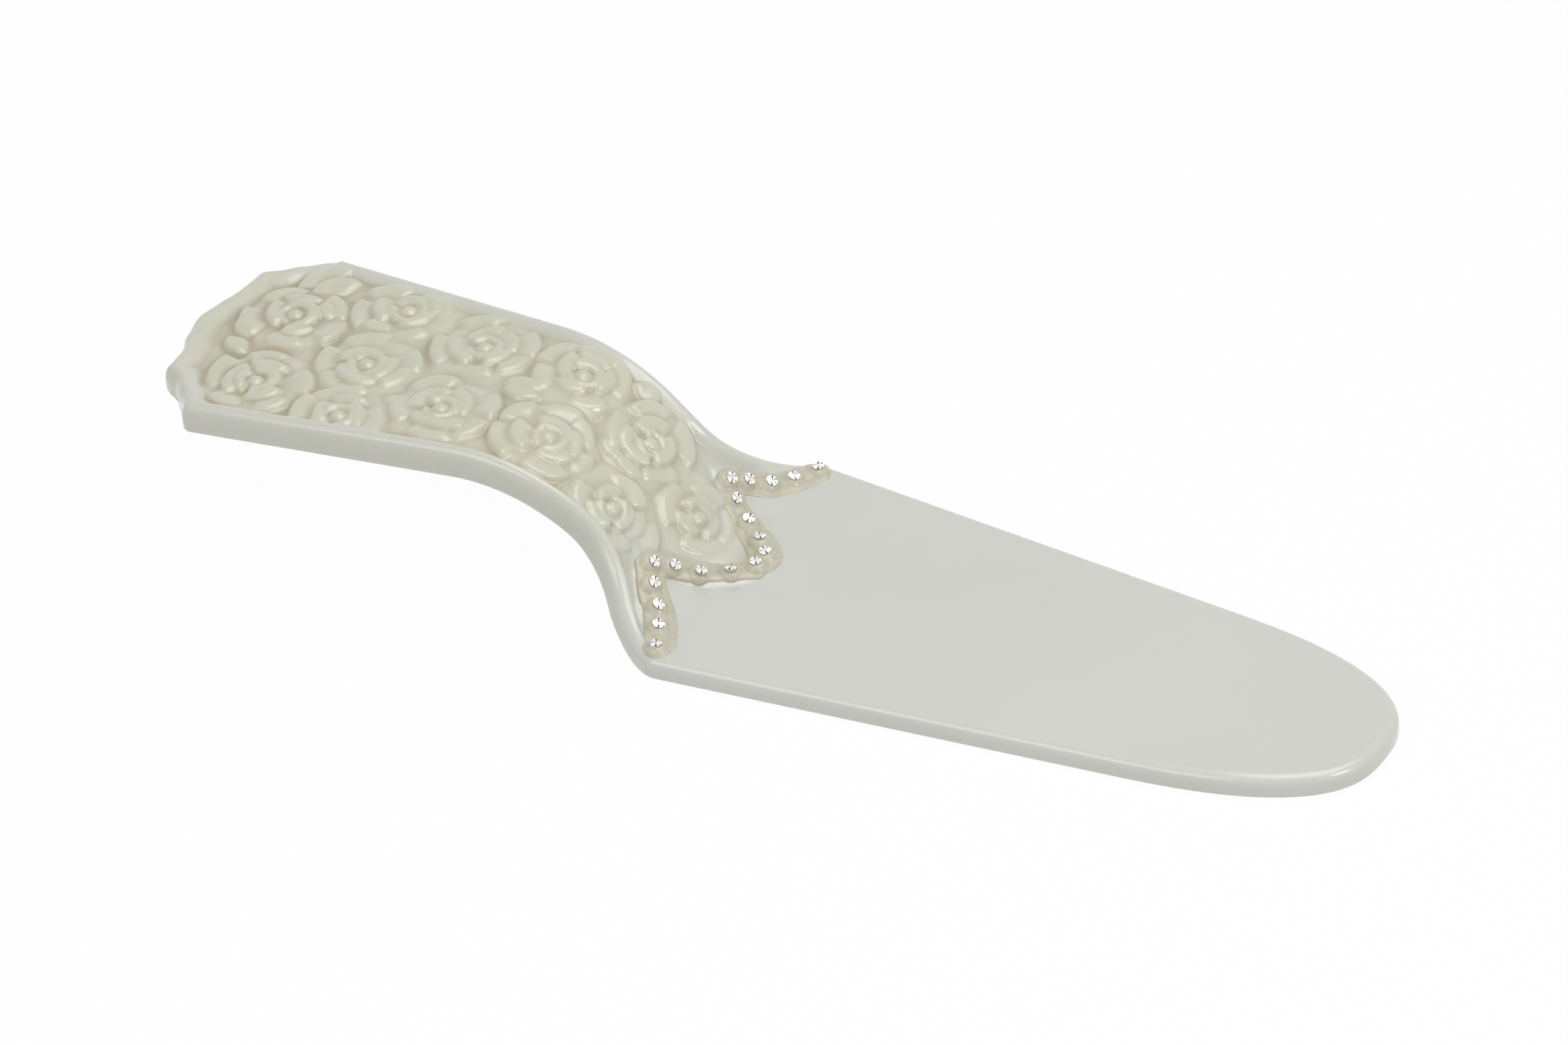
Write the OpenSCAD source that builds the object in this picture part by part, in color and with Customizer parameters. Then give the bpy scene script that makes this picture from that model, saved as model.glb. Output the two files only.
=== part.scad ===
// Porcelain cake server with a raised handle, a rose relief and a crown-shaped border of set stones.
// The server lies on its blade: +X points to the blade's tip and +Z is up.
// The casting is one bent sheet, so places on it are given along the sheet from the tip,
// across it from the middle line, and in height above its upper face.

/* [Blade] */
// Length of the flat blade, from its tip to the bend
blade_run = 145.4; // [115:0.2:175]
// Thickness of the blade
blade_thickness = 4.9; // [4:0.1:7]
// Width that the blade's straight sides would reach at its tip
blade_tip_width = 45.8; // [36:0.2:58]
// Width across the shoulders
shoulder_width = 75.4; // [66:0.2:90]
// Length over which the tip rounds off
nose_length = 47; // [36:1:60]
// Fullness of the tip, where 2 is an ellipse
nose_power = 2.7; // [2:0.1:3.2]
// Radius that rolls the upper edge over
upper_roll = 2.2; // [1:0.1:2.4]
// Radius that eases the lower edge
lower_roll = 1; // [0.4:0.1:1.4]

/* [Neck] */
// Radius of the bend where the blade turns upwards
toe_radius = 14; // [12:1:24]
// Radius of the bend over the top of the neck
crown_radius = 44; // [34:1:52]
// Steepest slope of the neck, in degrees
slope_angle = 48; // [40:0.5:55]
// Straight length between the two bends
slope_length = 12; // [6:1:16]
// Length of blade over which the shoulders start to draw in before the bend
shoulder_lead = 0.2; // [0:0.1:6]
// Length over which the shoulders draw in to the waist
shoulder_run = 38.3; // [30:0.1:46]
// Roundness of the shoulders, where a smaller value turns in more sharply
shoulder_power = 1.55; // [1.4:0.05:2.4]
// Fullness of the run-out from the shoulders into the waist
waist_power = 4.2; // [3:0.1:5]
// Width of the waist
waist_width = 45.6; // [36:0.2:52]

/* [Handle] */
// Length of the flat handle, from the bend to the middle of its end
handle_length = 74.9; // [60:0.1:96]
// Fall of the handle towards its end, in degrees
handle_fall = 2.8; // [0:0.1:4]
// Width across the handle's end corners
handle_width = 61.2; // [54:0.2:72]
// Thickness of the handle's wall
handle_thickness = 7; // [6.4:0.1:9]
// How far the end corners lie short of the middle of the end
corner_setback = 13.7; // [8:0.1:17]
// Radius of the end corners
corner_radius = 3.3; // [1.5:0.1:5]
// Length of handle over which the scalloped end fades out
scallop_reach = 30; // [22:1:36]
// Depth of the hollow under the handle
hollow_depth = 3; // [2:0.1:3.6]
// Width of the skirt that is left round the hollow
skirt_width = 3.6; // [3:0.1:7]

/* [Rose field] */
// Width of the smooth rim along the sides
rim_width = 2.2; // [1.6:0.1:4]
// Width of the smooth rim round the end
end_rim_width = 3.6; // [2.4:0.1:5]
// Width of the slope from the rim into the field
rim_slope = 1.2; // [0.8:0.1:2]
// Depth of the field under the rim
field_depth = 1.5; // [0.8:0.1:1.8]
// Diameter of the largest rose
rose_diameter = 23; // [18:0.5:25]
// Height of a rose's bud above the field
rose_height = 1.9; // [1:0.1:2.4]
// Length of a leaf between the roses
leaf_length = 7; // [4:0.5:9]
// Width of a leaf
leaf_width = 2.4; // [1.6:0.1:3.2]
// Height of a leaf above the field
leaf_height = 1; // [0.6:0.1:1.4]

/* [Stone border] */
// Distance from the border's points on the handle side to its middle point on the blade
border_depth = 18.5; // [12:0.5:24]
// Length of blade that the border's middle point covers
border_overlap = 4.7; // [2:0.1:9]
// Rise of the casting under the border's middle points
tongue_rise = 1; // [0.4:0.1:1.4]
// Width of the raised setting band
band_width = 6; // [5:0.1:7]
// Height of the band above the casting
band_height = 0.9; // [0.6:0.1:1.4]
// Diameter of a stone
stone_diameter = 2.6; // [2:0.1:3]
// Height of a stone's faceted crown
stone_crown = 0.7; // [0.4:0.1:1.1]
// Height of a stone's girdle and foil back
stone_girdle = 0.6; // [0.4:0.1:0.9]
// Diameter of the rounded cup round a stone
cup_diameter = 3.9; // [3.4:0.1:4.6]
// Height of the cup above the band
cup_height = 0.6; // [0.3:0.1:0.9]
// Clearance between a stone and its cup
stone_clearance = 0.05; // [0.03:0.01:0.1]

/* [Hidden] */
STONES_A_SIDE = 9;
STONES = 2 * STONES_A_SIDE;
CREST = 4;

porcelain = "#cdcfc6";
resin = "#c9c4ae";
crystal = "#eef2f4";

facets = 8;
small_sides = 14;
leaf_sides = 8;
space_lines = 8;

// The sheet's stations, measured along its upper face from the tip
toe_end = blade_run + arc_length(toe_radius, slope_angle);
slope_end = toe_end + slope_length;
crown_end = slope_end + arc_length(crown_radius, slope_angle + handle_fall);
sheet_length = crown_end + handle_length;
shoulder_start = blade_run - shoulder_lead;
waist = shoulder_start + shoulder_run;
border_root = blade_run - border_overlap;
border_tip = border_root + border_depth;
tip_x = frame(sheet_length).x / 2;

// Half of the handle's end: share of the half width, and share of the corner's setback
end_shares = [
    [0, 0], [0.19, 0.08], [0.28, 0.12], [0.36, 0.2], [0.46, 0.26], [0.6, 0.275],
    [0.68, 0.285], [0.73, 0.4], [0.79, 0.61], [0.89, 0.77], [1, 1]
];
// Lines across the sheet between the two rims, as shares of the way out from the middle
line_shares = [0, 0.21, 0.4, 0.52, 0.67, 0.76, 0.82, 0.89];
// Lines on a rim, as shares of its width
rim_shares = [0, 0.15, 0.5, 1];

// Roses: share of the field's length from the border, share of the half width, share of the largest
// diameter, and turn in degrees
rose_shares = [
    [0.858, 0.24, 0.9, 20], [0.706, 0.6, 1, 140], [0.822, -0.58, 1, 250], [0.692, -0.13, 1, 0],
    [0.662, -0.8, 0.93, 60], [0.551, 0.41, 1, 200], [0.532, -0.47, 0.95, 320], [0.388, 0.46, 0.92, 90],
    [0.362, -0.41, 0.97, 30], [0.246, 0.28, 0.9, 290], [0.222, -0.63, 0.78, 170], [0.121, 0.07, 0.68, 75]
];
// Leaves: share of the field's length, share of the half width, and turn in degrees
leaf_shares = [
    [0.88, 0.74, 60], [0.85, 0.66, 50], [0.94, -0.17, 20], [0.785, 0.33, -40], [0.775, -0.2, 70],
    [0.62, 0.1, 50], [0.6, -0.1, -30], [0.463, 0.08, 5], [0.455, 0.8, 30], [0.44, -0.78, -20],
    [0.3, 0.8, 20], [0.29, -0.1, 65], [0.27, -0.85, -10]
];
// Stones of one side, from the shoulder to the middle: share of the border's depth from its middle
// point, and share of the half shoulder width
stone_shares = [
    [0.286, 0.9], [0.443, 0.751], [0.611, 0.627], [0.838, 0.524], [1, 0.426],
    [0.795, 0.339], [0.486, 0.265], [0.189, 0.161], [0, 0.053]
];
border_shares = concat(
    [[0, 0]],
    [for (i = [STONES_A_SIDE - 1 : -1 : 0]) [stone_shares[i].y, stone_shares[i].x]]
);
// Where the band runs out past the last stone, in the same shares
band_end_share = [0.26, 0.905];

// A rose's rings: share of its radius, share of its height, and which whorl the ring belongs to
ring_shares = [
    [0.1, 0.95, 0], [0.2, 0.55, 1], [0.32, 0.92, 1], [0.43, 0.4, 2], [0.58, 0.8, 2],
    [0.71, 0.22, 3], [0.88, 0.6, 3], [1, -0.15, 3]
];
// Petals in each whorl, the turn from one whorl to the next, and how far a petal swings and dips
whorl_petals = [1, 3, 4, 5];
whorl_turn = 40;
petal_swing_share = 0.16;
petal_dip_share = 0.45;
rose_steps = 24;

function arc_length(radius, angle) = radius * angle * PI / 180;
function arc_angle(radius, length) = length / radius * 180 / PI;
function ramp(t) = let (c = min(1, max(0, t))) c * c * (3 - 2 * c);
function fraction(t) = t - floor(t);

// Place on the sheet's upper face: distance from the tip, height, and slope
function on_toe(s) =
    let (a = arc_angle(toe_radius, s - blade_run))
    [blade_run + toe_radius * sin(a), blade_thickness + toe_radius * (1 - cos(a)), a];
function on_slope(s) =
    let (f = on_toe(toe_end), run = s - toe_end)
    [f.x + run * cos(slope_angle), f.y + run * sin(slope_angle), slope_angle];
function on_crown(s) =
    let (f = on_slope(slope_end), a = slope_angle - arc_angle(crown_radius, s - slope_end))
    [f.x + crown_radius * (sin(slope_angle) - sin(a)), f.y + crown_radius * (cos(a) - cos(slope_angle)), a];
function on_handle(s) =
    let (f = on_crown(crown_end), run = s - crown_end)
    [f.x + run * cos(handle_fall), f.y - run * sin(handle_fall), -handle_fall];
function frame(s) =
    s <= blade_run ? [s, blade_thickness, 0]
    : s <= toe_end ? on_toe(s)
    : s <= slope_end ? on_slope(s)
    : s <= crown_end ? on_crown(s)
    : on_handle(s);
function place(s, y, h) =
    let (f = frame(s))
    [tip_x - f.x + h * sin(f.z), y, f.y + h * cos(f.z)];
// Place over the casting's own upper face, which rises under the border
function over(s, y, h) = place(s, y, h + lift(s, y));

// Outline in plan
function nose(s) = s >= nose_length ? 1 : pow(1 - pow(1 - s / nose_length, nose_power), 1 / nose_power);
function blade_half(s) =
    nose(s) * (blade_tip_width + (shoulder_width - blade_tip_width) * s / blade_run) / 2;
function handle_half(s) =
    (waist_width + (handle_width - waist_width) * (s - waist) / (sheet_length - corner_setback - waist)) / 2;
function half_width(s) =
    let (
        t = min(1, max(0, (s - shoulder_start) / shoulder_run)),
        drawn = 1 - pow(1 - pow(t, shoulder_power), waist_power)
    )
    blade_half(s) * (1 - drawn) + handle_half(s) * drawn;
function setback(share) = corner_setback * lookup(abs(share), end_shares);
function scallop(s) = ramp((s - sheet_length + scallop_reach) / scallop_reach);

// Heights over the upper face
function rolled(gap, radius) = gap >= radius ? 0 : radius - sqrt(radius * radius - pow(radius - gap, 2));
function thickness(s) =
    blade_thickness + (handle_thickness - blade_thickness) * ramp((s - blade_run) / shoulder_run);
function border_line(y) =
    border_root + border_depth * lookup(abs(y) * 2 / shoulder_width, border_shares);
// The casting rises under the border's middle points and eases off towards the roses
function lift(s, y) =
    tongue_rise
    * ramp((s - border_line(y) + band_width) / band_width)
    * ramp((stone_shares[CREST].y * shoulder_width / 2 - abs(y)) / band_width)
    * (1 - ramp((s - border_tip) / border_depth));
function field(s, y, side_gap, end_gap) =
    field_depth
    * ramp((side_gap - rim_width) / rim_slope)
    * ramp((end_gap - end_rim_width) / rim_slope)
    * ramp((s - border_line(y)) / band_width);
function hollow(s, side_gap, end_gap) =
    hollow_depth
    * ramp((side_gap - skirt_width) / rim_slope)
    * ramp((end_gap - skirt_width) / rim_slope)
    * ramp((s - toe_end) / slope_length);

// Rows along the sheet
nose_rows = 8;
first_row_share = 0.05;
probe_share = 0.001;
neck_rows = 12;
crown_rows = 8;
end_rows = 4;
rows = concat(
    [for (share = [first_row_share, each [for (i = [1 : nose_rows]) i / nose_rows]])
        nose_length * share * share],
    [for (i = [0 : neck_rows]) shoulder_start + shoulder_run * i / neck_rows],
    [for (i = [1 : crown_rows]) waist + (crown_end - waist) * i / crown_rows],
    [for (i = [0 : end_rows - 1]) sheet_length - scallop_reach
        + (scallop_reach - end_rim_width - rim_slope) * i / end_rows],
    [sheet_length - end_rim_width - rim_slope],
    [for (i = [len(rim_shares) - 1 : -1 : 0]) sheet_length - end_rim_width * rim_shares[i]]
);

function row_half(s) =
    let (gap = min(corner_radius, sheet_length - s))
    half_width(s - scallop(s) * corner_setback) - rolled(gap, corner_radius);
function row_lean(s) =
    let (step = probe_share * nose_length)
    cos(atan((half_width(s + step) - half_width(s)) / step));
function rim_lines(half, width) = [for (r = rim_shares) half - r * min(width, half / 4)];
function row_lines(half) =
    let (
        outer = rim_lines(half, rim_width),
        inner = half - min(rim_width + rim_slope, half / 3),
        right = concat(outer, [inner], [for (i = [len(line_shares) - 1 : -1 : 1]) inner * line_shares[i]])
    )
    concat(-right, [0], [for (i = [len(right) - 1 : -1 : 0]) right[i]]);

function sheet_row(row, upper) =
    let (half = row_half(row), lean = row_lean(row - scallop(row) * corner_setback))
    [for (y = row_lines(half))
        let (
            s = row - scallop(row) * setback(y / half),
            side_gap = max(0, half - abs(y)) * lean,
            end_gap = sheet_length - row,
            gap = min(side_gap, end_gap, s),
            h = upper ? lift(s, y) - rolled(gap, upper_roll) - field(s, y, side_gap, end_gap)
                : -thickness(s) + rolled(gap, lower_roll) + hollow(s, side_gap, end_gap)
        )
        place(s, y, h)];

// A closed solid from rows of points, each row an upper line and a lower line
module skin(uppers, lowers) {
    across = len(uppers[0]);
    ring = 2 * across;
    points = [for (i = [0 : len(uppers) - 1]) each concat(
        uppers[i], [for (j = [across - 1 : -1 : 0]) lowers[i][j]])];
    last = (len(uppers) - 1) * ring;
    walls = [for (i = [0 : len(uppers) - 2], j = [0 : ring - 1])
        let (a = i * ring + j, b = i * ring + (j + 1) % ring)
        each [[a, b + ring, b], [a, a + ring, b + ring]]];
    caps = [for (j = [0 : across - 2]) each [
        [j, j + 1, ring - 1 - j], [j + 1, ring - 2 - j, ring - 1 - j],
        [last + j, last + ring - 1 - j, last + j + 1],
        [last + j + 1, last + ring - 1 - j, last + ring - 2 - j]]];
    polyhedron(points = points, faces = concat(walls, caps), convexity = 6);
}

module sheet() {
    skin([for (r = rows) sheet_row(r, true)], [for (r = rows) sheet_row(r, false)]);
}

// The space over the field, inside the rims
module field_space() {
    margin = rim_width + rim_slope / 2;
    reach = [for (r = rows) if (r > border_root && r <= sheet_length - end_rim_width) r];
    function line(r, h) =
        let (half = row_half(r))
        [for (share = [-1, each [for (l = [1 - space_lines : space_lines - 1]) l / space_lines], 1])
            let (s = r - scallop(r) * setback(share))
            over(s, share * (half - margin), h)];
    skin([for (r = reach) line(r, rose_height)], [for (r = reach) line(r, -2 * field_depth)]);
}

// A rose: rings of points round a bud, where each whorl's radius swings outwards along every petal
module rose(shares) {
    s0 = border_root + (sheet_length - border_root) * shares[0];
    y0 = half_width(s0) * shares[1];
    radius = rose_diameter * shares[2] / 2;
    turn = shares[3];
    function petal(whorl, angle) = fraction((angle + whorl_turn * whorl) * whorl_petals[whorl] / 360);
    function ring_point(ring, angle) =
        let (
            t = ring[2] == 0 ? 0.5 : petal(ring[2], angle),
            r = radius * ring[0] * (1 + petal_swing_share * (t - 0.5)),
            dip = ring[2] == 0 ? 0 : petal_dip_share * pow(1 - sin(180 * t), 2),
            h = rose_height * ring[1] * (1 - dip)
        )
        over(s0 + r * cos(angle + turn), y0 + r * sin(angle + turn), h - field_depth);
    count = len(ring_shares);
    foot = -field_depth - rose_height / 2;
    points = concat(
        [over(s0, y0, rose_height - field_depth), place(s0, y0, foot)],
        [for (ring = ring_shares, k = [0 : rose_steps - 1]) ring_point(ring, 360 * k / rose_steps)],
        [for (k = [0 : rose_steps - 1])
            let (a = 360 * k / rose_steps + turn)
            place(s0 + radius * cos(a), y0 + radius * sin(a), foot)]
    );
    function at(i, k) = 2 + i * rose_steps + k % rose_steps;
    faces = concat(
        [for (k = [0 : rose_steps - 1]) [0, at(0, k), at(0, k + 1)]],
        [for (i = [0 : count - 1], k = [0 : rose_steps - 1])
            each [[at(i, k), at(i + 1, k), at(i + 1, k + 1)], [at(i, k), at(i + 1, k + 1), at(i, k + 1)]]],
        [for (k = [0 : rose_steps - 1]) [1, at(count, k + 1), at(count, k)]]
    );
    polyhedron(points = points, faces = faces, convexity = 6);
}

module on_sheet(s, y, h) {
    f = frame(s);
    translate(over(s, y, h))
        rotate([0, f.z, 0])
            children();
}

module leaf(shares) {
    s = border_root + (sheet_length - border_root) * shares[0];
    on_sheet(s, half_width(s) * shares[1], -field_depth)
        rotate([0, 0, shares[2]])
            hull() {
                for (side = [-1, 1])
                    translate([side * leaf_length / 2, 0, 0])
                        sphere(d = leaf_width / 4, $fn = leaf_sides);
                scale([leaf_width, leaf_width, 2 * leaf_height])
                    sphere(d = 1, $fn = leaf_sides);
            }
}

// One porcelain casting: blade, neck, handle and its rose relief
module porcelain_body() {
    color(porcelain)
        union() {
            sheet();
            intersection() {
                union() {
                    for (r = rose_shares)
                        rose(r);
                    for (l = leaf_shares)
                        leaf(l);
                }
                field_space();
            }
        }
}

// Places of the stones, in their order round the border from the left shoulder to the right.
// The place after the last stone is where the band runs out.
function stone_place(i) =
    let (
        left = i < STONES_A_SIDE,
        k = left ? i : STONES - 1 - i,
        shares = k < 0 ? band_end_share : stone_shares[k]
    )
    [border_root + border_depth * shares.x, (left ? 1 : -1) * shares.y * shoulder_width / 2];

module at_stone(i, h) {
    p = stone_place(i);
    on_sheet(p.x, p.y, h)
        children();
}

module band_pad(i) {
    at_stone(i, -field_depth)
        cylinder(
            h = band_height + field_depth,
            d1 = band_width,
            d2 = band_width - band_height,
            $fn = small_sides
        );
}

// The raised band that holds the stones, with a cup round each stone
module setting_band() {
    color(resin)
        difference() {
            union() {
                for (i = [0 : STONES - 1])
                    hull() {
                        band_pad(i);
                        band_pad(i + 1);
                    }
                for (i = [0 : STONES - 1])
                    at_stone(i, 0)
                        cylinder(
                            h = band_height + cup_height,
                            d1 = cup_diameter,
                            d2 = stone_diameter + cup_height,
                            $fn = small_sides
                        );
            }
            for (i = [0 : STONES - 1])
                at_stone(i, band_height - stone_clearance)
                    cylinder(
                        h = 2 * cup_height,
                        d = stone_diameter + 2 * stone_clearance,
                        $fn = small_sides
                    );
            porcelain_body();
        }
}

// A foil-backed stone: a round girdle under a faceted crown with a flat table
module stone(i) {
    color(crystal)
        at_stone(i, band_height)
            union() {
                cylinder(h = stone_girdle, d = stone_diameter);
                translate([0, 0, stone_girdle])
                    cylinder(h = stone_crown, d1 = stone_diameter, d2 = stone_diameter / 2, $fn = facets);
            }
}

porcelain_body();
setting_band();
for (i = [1 : STONES])
    stone(i - 1);
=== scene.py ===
# %% [markdown]
# # Porcelain cake server with a rose handle and a stone-set border
# The object is one glazed porcelain casting with a ribbon of clear gel on it that holds
# eighteen foil-backed stones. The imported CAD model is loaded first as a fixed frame, and
# its box is kept, because the dressed model has to stay the same size.

# %% Frame
import math
import random

import bmesh
import bpy
import numpy as np
from mathutils import Matrix, Quaternion, Vector


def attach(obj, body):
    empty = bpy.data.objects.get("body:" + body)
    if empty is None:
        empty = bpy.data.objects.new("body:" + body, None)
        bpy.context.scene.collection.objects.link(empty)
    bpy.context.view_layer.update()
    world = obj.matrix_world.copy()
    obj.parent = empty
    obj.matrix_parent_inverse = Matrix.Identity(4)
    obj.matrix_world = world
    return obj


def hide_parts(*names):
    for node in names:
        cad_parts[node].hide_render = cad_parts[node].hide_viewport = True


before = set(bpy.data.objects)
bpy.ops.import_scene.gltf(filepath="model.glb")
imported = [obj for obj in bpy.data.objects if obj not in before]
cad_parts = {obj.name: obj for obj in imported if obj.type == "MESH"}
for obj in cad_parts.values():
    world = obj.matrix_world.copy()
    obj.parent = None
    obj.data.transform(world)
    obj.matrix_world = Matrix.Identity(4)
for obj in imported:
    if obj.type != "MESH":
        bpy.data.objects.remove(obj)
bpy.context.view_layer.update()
MM = 0.001

# %% [markdown]
# ## The bent sheet
# The casting is easiest to think of as one flat sheet of clay that was bent over a former.
# A place on it is given along the sheet from the blade's tip (s), across it from the middle
# line (y) and in height above its upper face (h), all in millimetres. One function then
# bends the flat sheet into the blade, the neck and the handle, so the roses can be carved
# on the flat and the bend takes them along.

# %% Sizes of the sheet in millimetres
BLADE_RUN, BLADE_THICK, HANDLE_THICK = 145.4, 4.9, 7.0
TIP_WIDTH, SHOULDER_WIDTH, WAIST_WIDTH, END_WIDTH = 45.8, 75.4, 45.6, 61.2
NOSE_LENGTH, NOSE_POWER = 47.0, 2.7
TOE_RADIUS, CROWN_RADIUS, SLOPE_LENGTH = 14.0, 44.0, 12.0
SLOPE, FALL = math.radians(48.0), math.radians(2.8)
SHOULDER_LEAD, SHOULDER_RUN, SHOULDER_POWER, WAIST_POWER = 0.2, 38.3, 1.55, 4.2
HANDLE_LENGTH, CORNER_SETBACK, CORNER_RADIUS, SCALLOP_REACH = 74.9, 13.7, 3.3, 30.0
UPPER_ROLL, LOWER_ROLL, BLADE_ROLL_DEPTH, HANDLE_ROLL_DEPTH = 2.2, 1.0, 2.4, 3.9
RIM, RIM_SLOPE, FAR_SLOPE, END_RIM, END_SLOPE, FIELD_DEPTH = 2.2, 1.2, 3.2, 1.8, 5.2, 1.5
HOLLOW, HOLLOW_SLOPE, SKIRT = 3.0, 3.0, 3.6
BORDER_OVERLAP, BORDER_DEPTH, BAND_WIDTH, TONGUE_RISE = 4.7, 18.5, 6.0, 1.0

TOE_END = BLADE_RUN + TOE_RADIUS * SLOPE
SLOPE_END = TOE_END + SLOPE_LENGTH
CROWN_END = SLOPE_END + CROWN_RADIUS * (SLOPE + FALL)
SHEET = CROWN_END + HANDLE_LENGTH
SHOULDER = BLADE_RUN - SHOULDER_LEAD
WAIST = SHOULDER + SHOULDER_RUN
ROOT = BLADE_RUN - BORDER_OVERLAP

END_SHARES = [
    (0, 0), (0.19, 0.08), (0.28, 0.12), (0.36, 0.2), (0.46, 0.26), (0.6, 0.275),
    (0.68, 0.285), (0.73, 0.4), (0.79, 0.61), (0.89, 0.77), (1, 1),
]
# the far corner is a little fuller than the near one
FAR_END_SHARES = [
    (0, 0), (0.19, 0.075), (0.28, 0.115), (0.36, 0.17), (0.5, 0.215), (0.6, 0.235),
    (0.7, 0.25), (0.76, 0.34), (0.82, 0.55), (0.9, 0.72), (0.97, 0.87), (1, 1),
]
STONE_SHARES = [
    (0.286, 0.9), (0.443, 0.751), (0.611, 0.627), (0.838, 0.524), (1, 0.426),
    (0.795, 0.339), (0.486, 0.265), (0.189, 0.161), (0, 0.053),
]


# %% Bending the sheet
def ramp(t):
    t = np.clip(t, 0.0, 1.0)
    return t * t * (3.0 - 2.0 * t)


def follow(s):
    """Distance from the tip, height and slope of the upper face at s."""
    s = np.asarray(s, float)
    toe = np.clip((s - BLADE_RUN) / TOE_RADIUS, 0.0, SLOPE)
    d = np.minimum(s, BLADE_RUN) + TOE_RADIUS * np.sin(toe)
    z = BLADE_THICK + TOE_RADIUS * (1.0 - np.cos(toe))
    run = np.clip(s - TOE_END, 0.0, SLOPE_LENGTH)
    d, z = d + run * math.cos(SLOPE), z + run * math.sin(SLOPE)
    a = SLOPE - np.clip((s - SLOPE_END) / CROWN_RADIUS, 0.0, SLOPE + FALL)
    d = d + CROWN_RADIUS * (math.sin(SLOPE) - np.sin(a))
    z = z + CROWN_RADIUS * (np.cos(a) - math.cos(SLOPE))
    run = np.clip(s - CROWN_END, 0.0, None)
    d, z = d + run * math.cos(FALL), z - run * math.sin(FALL)
    return d, z, np.where(s < TOE_END, toe, a)


TIP_X = float(follow(SHEET)[0]) / 2.0


def bend(s, y, h):
    """Places in metres in the row frame."""
    d, z, a = follow(s)
    x = TIP_X - d + h * np.sin(a)
    return np.stack([x, y + 0.0 * x, z + h * np.cos(a)], axis=-1) * MM


print("sheet", round(SHEET, 2), "mm long; tip at x =", round(TIP_X, 2), "mm")


# %% [markdown]
# ## The outline
# In plan the blade is a long taper with a full round tip, the shoulders draw in quickly to
# the waist, and the handle widens again to a scalloped end with rounded corners. The same
# rules as in the CAD source give the half width, and the outline is also kept as a line, so
# the distance of any point from the edge can be measured for the rolled glaze edge.

# %% Half widths and the outline
def eased_lookup(t, table):
    """A smooth curve through a short table of shares."""
    x = np.array([p[0] for p in table], float)
    v = np.array([p[1] for p in table], float)
    step = np.diff(v) / np.diff(x)
    between = 2 * step[1:] * step[:-1] / np.maximum(step[1:] + step[:-1], 1e-6)
    slope = np.concatenate([[0.0], between, [step[-1]]])
    slope[1:-1] = np.where(step[1:] * step[:-1] > 0, slope[1:-1], 0.0)
    t = np.clip(t, 0.0, 1.0)
    k = np.clip(np.searchsorted(x, t, side="right") - 1, 0, len(x) - 2)
    w = x[k + 1] - x[k]
    u = (t - x[k]) / w
    return (
        v[k] * (1 + 2 * u) * (1 - u) ** 2 + v[k + 1] * u * u * (3 - 2 * u)
        + w * slope[k] * u * (1 - u) ** 2 + w * slope[k + 1] * u * u * (u - 1)
    )


def half_width(s):
    s = np.asarray(s, float)
    nose = (1 - (1 - np.clip(s / NOSE_LENGTH, 0, 1)) ** NOSE_POWER) ** (1 / NOSE_POWER)
    blade = nose * (TIP_WIDTH + (SHOULDER_WIDTH - TIP_WIDTH) * s / BLADE_RUN) / 2
    along = (s - WAIST) / (SHEET - CORNER_SETBACK - WAIST)
    handle = (WAIST_WIDTH + (END_WIDTH - WAIST_WIDTH) * along) / 2
    t = np.clip((s - SHOULDER) / SHOULDER_RUN, 0, 1)
    drawn = 1 - (1 - t ** SHOULDER_POWER) ** WAIST_POWER
    return blade * (1 - drawn) + handle * drawn


def rolled(gap, radius):
    gap = np.clip(gap, 0.0, radius)
    return radius - np.sqrt(np.maximum(radius**2 - (radius - gap) ** 2, 0.0))


def roll_depth(s):
    """How far down the wall the roll of the upper edge reaches."""
    share = ramp((s - BLADE_RUN) / SHOULDER_RUN)
    return BLADE_ROLL_DEPTH + (HANDLE_ROLL_DEPTH - BLADE_ROLL_DEPTH) * share


def upper_edge(s, gap):
    return rolled(gap, UPPER_ROLL) * roll_depth(s) / UPPER_ROLL


def scallop(r):
    return ramp((r - SHEET + SCALLOP_REACH) / SCALLOP_REACH)


def setback(share):
    """How far the end lies back, by the signed share of the half width; far is positive."""
    share = np.asarray(share, float)
    far, near = eased_lookup(share, FAR_END_SHARES), eased_lookup(-share, END_SHARES)
    return CORNER_SETBACK * np.where(share > 0, far, near)


def row_half(r):
    return half_width(r - scallop(r) * CORNER_SETBACK) - rolled(SHEET - r, CORNER_RADIUS)


CORNER_Y = float(row_half(np.array(SHEET)))
NOSE_POINTS, SIDE_POINTS, CORNER_POINTS, END_POINTS, CORNER_STRETCH = 120, 400, 100, 300, 5
GAP_REACH, PIECE_POINTS, BLOCK_POINTS = 7.5, 24, 8000


def outline():
    r = np.concatenate([
        NOSE_LENGTH * np.linspace(0, 1, NOSE_POINTS) ** 2,
        np.linspace(NOSE_LENGTH, SHEET - CORNER_STRETCH, SIDE_POINTS)[1:],
        SHEET - CORNER_STRETCH * np.linspace(1, 0, CORNER_POINTS)[1:] ** 2,
    ])
    side_s, side_y = r - scallop(r) * CORNER_SETBACK, row_half(r)
    t = np.linspace(-1, 1, END_POINTS)
    end_s, end_y = SHEET - setback(-t), t * CORNER_Y
    s = np.concatenate([side_s, end_s, side_s[::-1]])
    return np.stack([s, np.concatenate([side_y, -end_y, -side_y[::-1]])], axis=-1)


OUTLINE = outline()


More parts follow.
